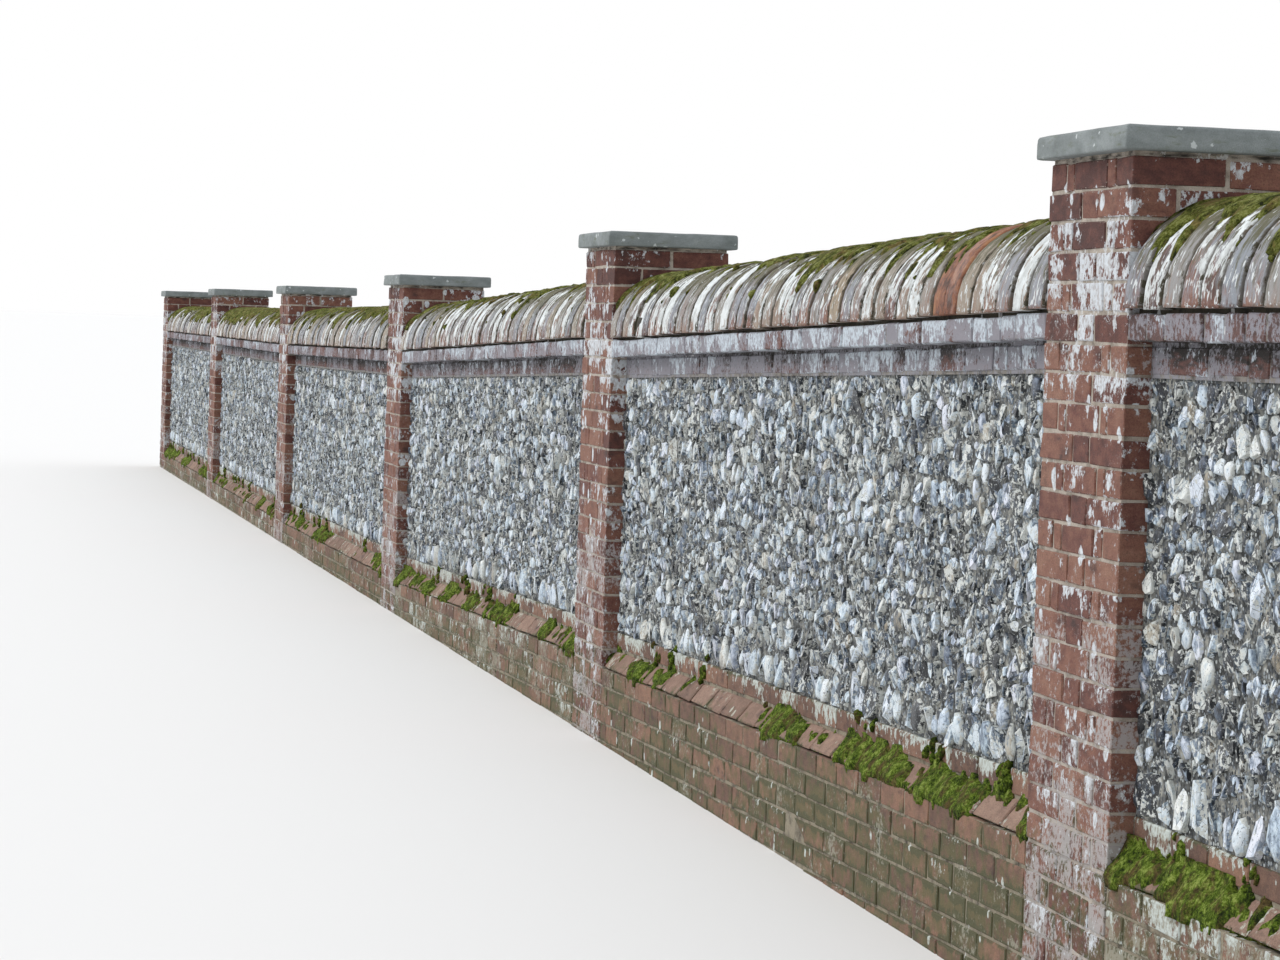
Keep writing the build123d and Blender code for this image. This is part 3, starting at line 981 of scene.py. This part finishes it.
def coping_finish(name):
    """Half-round coping brick, pressed and hard burnt, bleached by rain to tan and grey pink, redder at its
    feet. White crust lichen runs down each rib, algae and black tufts sit along the joints and the crown, and
    painted shade darkens the brick beside each joint."""
    material, tree = new_finish(name, Roughness=0.88, IOR=1.5)
    own = tone_of(tree)
    place = add(tree, "Attribute", attribute_name="low_side").outputs["Vector"]
    half_arc = np.pi * COPING_HALF / 2
    across = add(tree, "Math", {0: tone_of(tree, "low_side")[1], 1: half_arc}, operation="SUBTRACT")
    down = weigh(tree, 0.0, (add(tree, "Math", {0: across}, operation="ABSOLUTE"), 1 / half_arc))
    mottle = patches(tree, 0.05, 21, 5.0, 0.65)
    pick = weigh(tree, -0.42, (mottle, 1.0), (own[0], 0.85))
    clay = (pick, [
        (0.1, "#563c35"), (0.3, "#7a5548"), (0.5, "#8c6a5c"), (0.7, "#8d786a"), (0.9, "#9d8d7e")])
    colour, grain = grained(tree, clay, 0.004, 22, 0.5, 1.3)
    film = patches(tree, (0.02, 0.07, 1), 23, 5.0, 0.7, place)
    bleached = (down, [(0.3, 0.55), (0.6, 0.70), (0.8, 0.58), (1.0, 0.25)])
    grey = (own[0], [(0.45, "#8f969d"), (0.75, "#96938c"), (0.98, "#9b8b76")])
    film = weigh(tree, film, (bleached, 0.5), (own[1], -0.25))
    colour, _ = coat(tree, colour, grey, film, 0.50, 0.78, 0.85)
    algae = patches(tree, (0.020, 0.08, 1), 24, 5.0, 0.7, place)
    # Here only the damp near the crown, where algae grow; no painted shade on the coping.
    damp_and_painted_shade = (down, [(0.0, 1.0), (0.35, 0.85), (0.6, 0.5), (0.9, 0.25)])
    colour, _ = coat(tree, colour, "#55523a", weigh(tree, algae, (damp_and_painted_shade, 0.5)), 0.68, 0.90)
    clumps = patches(tree, (0.06, 0.10, 1), 26, 4.0, 0.6, place)
    streaks = patches(tree, (0.024, 0.055, 1), 25, 4.0, 0.65, place)
    where = (down, [
        (0.0, 0.0), (0.22, 0.2), (0.45, 0.58), (0.7, 0.6), (0.85, 0.38), (1.0, 0.3)])
    lichen = weigh(tree, clumps, (own[1], 0.46), (streaks, 0.95), (where, 0.32))
    chalk = (mottle, [(0.35, "#aeb0ad"), (0.6, "#dee2e1")])
    colour, crust = coat(tree, colour, chalk, lichen, 1.475, 1.55)
    runs = patches(tree, (0.011, 0.026, 1), 27, 2.0, 0.5, place)
    at_foot = (down, [(0.5, 0.2), (0.8, 1.0), (1.0, 0.7)])
    colour, _ = coat(tree, colour, "#cdd0cf", weigh(tree, runs, (at_foot, 0.12)), 0.70, 0.75)
    sides = tone_of(tree, "high_side")
    tufts = patches(tree, (0.012, 0.022, 1), 28, 3.0, 0.7, place)
    groups = patches(tree, (0.15, 0.08, 1), 29, 3.0, 0.6, place)
    edge = add(tree, "Math", {0: sides[0], 1: sides[1]}, operation="MINIMUM")
    # Painted shade: a dark brown band along each end of a coping brick, for the shadow in the joints between
    # them.
    colour, _ = coat(tree, colour, "#4a4031", weigh(tree, edge, (tufts, -0.022)), 0.0, -0.007, 0.75)
    black = weigh(tree, tufts, (groups, 0.9), (edge, -6.0))
    colour, _ = coat(tree, colour, "#35301f", black, 0.98, 1.06)
    fresh = (weigh(tree, mottle, (algae, 0.5)), [
        (0.62, "#4c3022"), (0.73, "#804c33"), (0.88, "#9a6843")])
    colour, _ = coat(tree, colour, fresh, own[2], 0.0, 1.0, 0.88)
    return dressed(material, colour, weigh(tree, mottle, (grain, 0.5), (crust, 0.2)), 0.007)


def flint_finish(name):
    """Field flint, some knapped: glassy grey to near black inside, clouded blue-white where it has weathered,
    each fracture of its own shade, with a chalky rind round its edge."""
    material, tree = new_finish(name, IOR=1.54)
    own = tone_of(tree)
    knapped = weigh(tree, 1.0, (own[2], -0.85))
    facet = cells(tree, (0.018, 0.018, 0.028), 3)
    shard = add(tree, "SeparateColor", {0: facet.outputs["Color"]})
    broken = add(tree, "Math", {0: add(tree, "Math", {0: shard, 1: 0.5}, operation="SUBTRACT"), 1: knapped},
                 operation="MULTIPLY")
    cloud = patches(tree, (0.018, 0.018, 0.026), 31, 4.0, 0.65)
    pick = weigh(tree, -0.70, (cloud, 1.3), (own[0], 0.98), (broken, 0.92))
    body = (pick, [
        (0.0, "#14181d"), (0.16, "#2a313a"), (0.32, "#475362"), (0.44, "#6a798a"), (0.52, "#8895a3"),
        (0.59, "#a1afbc"), (0.68, "#c2cfd9"), (0.82, "#dfe8ee"), (1.0, "#ebf0f4")])
    hue = (weigh(tree, own[1], (cloud, 0.3)), [
        (0.20, "#f1eef4"), (0.42, "#f1f6fb"), (0.62, "#f0f5f5"), (0.85, "#f5f6f6"), (1.0, "#f6f1e6")])
    body = add(tree, "Mix", {0: 1.0, 6: body, 7: hue}, data_type="RGBA", blend_type="MULTIPLY")
    colour, _ = coat(tree, body, "#a1957f", weigh(tree, own[1], (cloud, 0.4)), 1.12, 1.20, 0.8)
    seams = cells(tree, (0.018, 0.018, 0.028), 3, "DISTANCE_TO_EDGE")
    edge = weigh(tree, seams.outputs["Distance"], (knapped, -0.06), (own[0], 0.055))
    colour, _ = coat(tree, colour, "#2b2f33", edge, 0.02, -0.02, 0.85)
    rim = add(tree, "Attribute", attribute_name="rim")
    ragged = patches(tree, 0.014, 32, 3.0, 0.65)
    rind = weigh(tree, rim.outputs["Fac"], (ragged, 1.0), (own[1], 0.12))
    colour, rinded = coat(tree, colour, "#cdcfc9", rind, 1.44, 1.51)
    flecks = patches(tree, 0.007, 33, 2.0, 0.7)
    colour, _ = coat(tree, colour, "#c4cacf", flecks, 0.60, 0.70, 0.7)
    colour, _ = coat(tree, colour, "#23272c", flecks, 0.40, 0.33, 0.8)
    roughness = weigh(tree, 0.42, (rinded, 0.45))
    return dressed(material, colour, weigh(tree, cloud, (broken, 0.5)), 0.012, roughness=roughness)


def flint_mortar_finish(name):
    """Coarse lime mortar packed with chips of flint, 8 to 15 mm, and painted dark in patches as the shade of
    gaps where it has fallen back.
    """
    material, tree = new_finish(name, Roughness=0.95, IOR=1.45)
    # Painted shade: the near-black patches stand for the shadow in deep gaps between the flints.
    blotches = patches(tree, 0.04, 71, 4.0, 0.6)
    body = (blotches, [
        (0.39, "#262726"), (0.49, "#5a5b59"), (0.61, "#8b8a83"), (0.79, "#b5b2a3")])
    chips = cells(tree, (0.013, 0.013, 0.011), 4)
    value = add(tree, "SeparateColor", {0: chips.outputs["Color"]}).outputs
    shade = (value[0], [
        (0.0, "#1f2226"), (0.4, "#54585c"), (0.7, "#858b8f"), (0.95, "#b9bdba")])
    near = weigh(tree, chips.outputs["Distance"], (value[1], -0.3))
    colour, chip = coat(tree, body, shade, near, 0.34, 0.24)
    sand = patches(tree, 0.004, 72, 3.0, 0.7)
    return dressed(material, colour, weigh(tree, sand, (chip, 0.6)), 0.004)


def moss_finish(name, shades, dried, tuft):
    """Cushion moss: dull, deep green in its hollows and paler at its tips, partly its own colour and partly
    painted shade and light, and brown where it has dried. tuft is the size of its tufts, which on a steep
    slope lie along the way that the rain runs down."""
    material, tree = new_finish(name, Roughness=1.0, IOR=1.4, Specular_IOR_Level=0.2)
    thick = add(tree, "Attribute", attribute_name="rim")
    tufts = patches(tree, tuft, 41, 4.0, 0.75)
    fine = patches(tree, 0.005, 43, 2.0, 0.7)
    clumps = patches(tree, (0.035, 0.035, 0.03), 44, 2.0)
    # Painted shade in the hollows and painted light on the tips and thick parts, over the moss's own range of
    # green.
    lit = weigh(tree, -0.42, (tufts, 1.0), (thick.outputs["Fac"], 0.15), (fine, 0.5), (clumps, 0.7))
    green = (lit, list(zip((0.53, 0.69, 0.84, 1.0), shades)))
    dry = patches(tree, (0.05, 0.07, 0.07), 42, 5.0, 0.7)
    brown = (tufts, [(0.35, "#3a2f1a"), (0.6, dried)])
    colour, _ = coat(tree, green, brown, dry, 0.49, 0.64)
    return dressed(material, colour, weigh(tree, tufts, (fine, 0.3)), 0.02, 1.0)


def cap_finish(name):
    """Cast stone slab with a fine aggregate, weathered an even grey green, with a few groups of small spots
    of pale lichen."""
    material, tree = new_finish(name, Roughness=0.92, IOR=1.5)
    blotches = patches(tree, (0.10, 0.10, 0.05), 51, 5.0, 0.65)
    body = (blotches, [(0.28, "#696f6d"), (0.5, "#7c8281"), (0.72, "#8e9493")])
    colour, grit = grained(tree, body, 0.003, 52, 0.75, 1.15)
    olive = patches(tree, (0.09, 0.09, 0.02), 54, 4.0, 0.65)
    colour, _ = coat(tree, colour, "#646a58", olive, 0.55, 0.75)
    spots = cells(tree, 0.038, 5)
    wobble = patches(tree, 0.012, 53, 3.0, 0.65)
    groups = patches(tree, (0.12, 0.12, 0.05), 55)
    reach = weigh(tree, spots.outputs["Distance"], (wobble, 0.7), (groups, -1.1))
    colour, _ = coat(tree, colour, "#bcc1c0", reach, -0.09, -0.14)
    return dressed(material, colour, grit, 0.002)


CLAYS = [(0.0, "#4b2c27"), (0.25, "#653e35"), (0.55, "#7d5546"), (0.8, "#886352"), (1.0, "#916d59")]
SOOTED_CLAYS = [(0.0, "#3c2c2b"), (0.35, "#573f3b"), (0.7, "#6d4a42"), (1.0, "#7d5447")]
FOOT_CLAYS = [(0.0, "#4d382f"), (0.4, "#6f5243"), (0.7, "#84624f"), (1.0, "#906a53")]
WORN_CLAYS = [(0.0, "#675042"), (0.5, "#85695a"), (1.0, "#9a7f6d")]

# How much grows on each kind of brickwork at each height, and how much painted shade lies under the
# overhangs, as (metres, share)
ON_PIERS = {
    "grey": "#a9a4a2",
    "film": [(0.0, 0.8), (0.5, 0.8), (0.68, 0.58), (0.85, 0.36), (1.25, 0.34), (1.5, 0.5), (1.66, 0.15),
             (1.8, 0.0)],
    "crust": [(0.0, 0.08), (0.5, 0.05), (0.7, 0.0), (1.1, 0.04), (1.25, 0.30), (1.5, 0.47), (1.62, 0.36),
              (1.7, 0.08)],
    "drops": [(0.0, 0.3), (0.6, 0.6), (0.9, 0.85), (1.6, 0.8), (1.75, 0.6)],
    "green": [(0.0, 0.75), (0.2, 0.55), (0.45, 0.25), (0.7, 0.1), (1.8, 0.05)],
    "deep": [(1.3, 0.0), (1.65, 1.0)],
    # The bed under the cap is darkened as painted shade under the cap's overhang
    "damp_and_painted_shade": [(0.0, 0.0), (1.798, 0.0), (1.802, 0.4), (1.82, 0.4)],
}
ON_BANDS = {
    "grey": "#8e8d94",
    "film": [(1.30, 0.88), (1.36, 0.82), (1.39, 1.0), (1.44, 1.0)],
    "crust": [(1.30, -0.25), (1.36, -0.35), (1.385, 0.10), (1.44, 0.20)],
    "drops": [(1.3, 0.25), (1.37, 0.25), (1.4, 0.5)],
    "green": [(0.0, 0.1), (1.8, 0.1)],
    "deep": [(0.0, 0.0), (1.0, 0.0)],
    # The frieze darkens up to the string course as painted shade under its overhang
    "damp_and_painted_shade": [(1.31, 0.1), (1.35, 0.7), (1.378, 1.0), (1.384, 0.0)],
}
ON_PLINTH = {
    "grey": "#938f7f",
    "film": [(0.0, 0.62), (0.14, 0.56), (0.21, 0.3), (0.28, 0.45)],
    "crust": [(0.0, 0.0), (0.14, 0.0), (0.21, -0.2), (0.225, 0.2), (0.28, 0.42)],
    "drops": [(0.0, 0.35), (0.3, 0.3)],
    "green": [(0.0, 0.9), (0.13, 0.65), (0.21, 0.3), (0.27, 0.3), (0.29, 0.8)],
    "deep": [(0.0, 0.0), (1.0, 0.0)],
    "damp_and_painted_shade": [(0.0, 0.0), (1.8, 0.0)],
}
ON_CHAMFER = dict(ON_PLINTH, grey="#8d8375", film=[(0.0, 0.2), (0.3, 0.3)], crust=[(0.0, -0.3), (1.0, -0.3)])
BARE = dict(ON_BANDS, film=[(0.0, -1.0)], crust=[(0.0, -1.0)])

# The shades of moss from its hollows to its tips: darker in the hollows as painted shade and paler at the
# tips as painted light, over its own greens
DRY_MOSS = ("#202408", "#54591f", "#7c8040", "#a2a46c")
GREEN_MOSS = ("#1a2208", "#405112", "#6e8528", "#a8b65c")

pier_brick = brick_finish("hand_moulded_red_brick", CLAYS, ON_PIERS, white="#ced3d7")
band_brick = brick_finish("red_brick_under_coping", SOOTED_CLAYS, ON_BANDS, 0.4, "#c2ccd3", "#7d7672")
plinth_brick = brick_finish("red_brick_near_ground", FOOT_CLAYS, ON_PLINTH, 0.5, "#c0c7c1", "#8b8270")
chamfer_brick = brick_finish("smooth_chamfer_brick", WORN_CLAYS, ON_CHAMFER, 0.5, "#b3b3a4", "#8d8375")
coping_brick = coping_finish("half_round_coping_brick")
joint_mortar = mortar_finish("lime_mortar", "#b3a89b", "#7b7165", ON_PIERS)
# Mortar of the frieze and string course in a dark tone, which partly stands for painted shade in the joint
# under the string course.
band_mortar = mortar_finish("dark_lime_mortar_partly_painted_shade", "#8b857d", "#4b4641", ON_BANDS)
low_mortar = mortar_finish("stained_lime_mortar", "#8f8572", "#453e33", ON_PLINTH)
# Mortar under and between the coping bricks, near black as painted shade in the open joints and in the gap
# under the coping.
dark_mortar = mortar_finish("near_black_mortar_painted_shade", "#4c473b", "#25231c", BARE)
flint_mortar = flint_mortar_finish("flint_lime_mortar")
field_flint = flint_finish("field_flint")
crown_moss = moss_finish("dry_cushion_moss", DRY_MOSS, "#857443", (0.010, 0.018, 0.018))
ledge_moss = moss_finish("green_cushion_moss", GREEN_MOSS, "#6f5d36", 0.009)
cast_stone = cap_finish("cast_stone_cap")


# The wall

# Each row: what builds the piece, its node, its kind, its slot, the seed of its random numbers, its finishes
PIER_PIECES = [
    (build_pier, "pier", "brickwork", "brick", 100, [pier_brick, joint_mortar]),
    (build_cap, "pier_cap", "stone", "cap_stone", 0, [cast_stone]),
]
BAY_PIECES = [
    (build_plinth, "plinth", "brickwork", "plinth_brick", 200, [plinth_brick, low_mortar, chamfer_brick]),
    (build_flint_panel, "flint_panel", "flintwork", "flint", 500, [field_flint, flint_mortar]),
    (build_frieze, "frieze", "brickwork", "brick", 300, [band_brick, band_mortar]),
    (build_string_course, "string_course", "brickwork", "brick", 400, [band_brick, band_mortar]),
    (build_coping, "coping", "brickwork", "coping_brick", 600, [coping_brick, dark_mortar]),
    (build_crown_moss, "coping", "moss", "coping_brick", 700, [crown_moss]),
    (build_ledge_moss, "plinth", "moss", "plinth_brick", 800, [ledge_moss]),
]


def build_all(rows, place, *span):
    """The pieces of one pier or one bay."""
    for build, node, kind, slot, seed, finishes in rows:
        piece = Piece()
        build(piece, place, *span, np.random.default_rng(seed + place))
        piece.make(f"{node}_{place + 1}", kind, finishes)


for place in range(pier_count):
    build_all(PIER_PIECES, place)
for bay in range(bay_count):
    build_all(BAY_PIECES, bay, *bay_span(bay))


# Floor, lamps and camera

def add_floor():
    """A plain pale floor under the wall, far wider than it."""
    mesh = bpy.data.meshes.new("floor")
    reach = 3000
    corners = [(-reach, -reach, 0), (reach, -reach, 0), (reach, reach, 0), (-reach, reach, 0)]
    mesh.from_pydata(corners, [], [(0, 1, 2, 3)])
    mesh.materials.append(new_finish("pale_floor", Roughness=0.9, Base_Color=srgb("#e2e0dd"))[0])
    floor = new_object("floor", mesh)


def add_sun(name, strength, azimuth, elevation, spread):
    """A soft sun. The azimuth turns from -Y to -X, in degrees, and the spread is its width in the sky."""
    data = bpy.data.lights.new(name, "SUN")
    data.energy = strength
    data.angle = math.radians(spread)
    sun = new_object(name, data)
    a, e = math.radians(azimuth), math.radians(elevation)
    towards = Vector((-math.sin(a) * math.cos(e), -math.cos(a) * math.cos(e), math.sin(e)))
    sun.rotation_mode = "QUATERNION"
    sun.rotation_quaternion = towards.to_track_quat("Z", "Y")


def add_sky(strength):
    """An even sky for light, that the camera and clear reflections see as white."""
    world = bpy.data.worlds.new("soft_sky")
    world.use_nodes = True
    bpy.context.scene.world = world
    tree = world.node_tree
    tree.nodes.clear()
    path = add(tree, "LightPath")
    seen = path.outputs["Is Camera Ray"]
    for ray in ("Is Glossy Ray", "Is Transmission Ray"):
        seen = add(tree, "Math", {0: seen, 1: path.outputs[ray]}, operation="MAXIMUM")
    lamp = add(tree, "Background", {"Color": "#eef2f8", "Strength": strength})
    white = add(tree, "Background", {"Color": (1, 1, 1, 1), "Strength": 1.0})
    mixed = add(tree, "MixShader", {0: seen, 1: lamp, 2: white})
    add(tree, "OutputWorld", {"Surface": mixed})


def add_camera(place, yaw, pitch, roll, lens):
    """The photograph's camera: it looks along -X, turned by yaw towards +Y, and tipped by pitch and roll."""
    yaw, pitch, roll = (math.radians(value) for value in (yaw, pitch, roll))
    ahead = Vector((-math.cos(yaw) * math.cos(pitch), math.sin(yaw) * math.cos(pitch), math.sin(pitch)))
    level = Vector((math.sin(yaw), math.cos(yaw), 0))
    upright = level.cross(ahead)
    right = level * math.cos(roll) + upright * math.sin(roll)
    up = upright * math.cos(roll) - level * math.sin(roll)
    data = bpy.data.cameras.new("camera")
    data.sensor_fit = "HORIZONTAL"
    data.sensor_width = 36
    data.lens = lens
    data.clip_start, data.clip_end = 0.1, 5000
    camera = new_object("camera", data)
    camera.matrix_world = Matrix.Translation(place) @ Matrix((right, up, -ahead)).transposed().to_4x4()
    bpy.context.scene.camera = camera


add_floor()
add_sky(1.0)
add_sun("key", strength=1.8, azimuth=38, elevation=44, spread=50)
add_camera((19.5595, -2.9636, 1.6393), yaw=12.072, pitch=-2.488, roll=1.877, lens=97.509)
bpy.context.scene.view_settings.view_transform = "Standard"
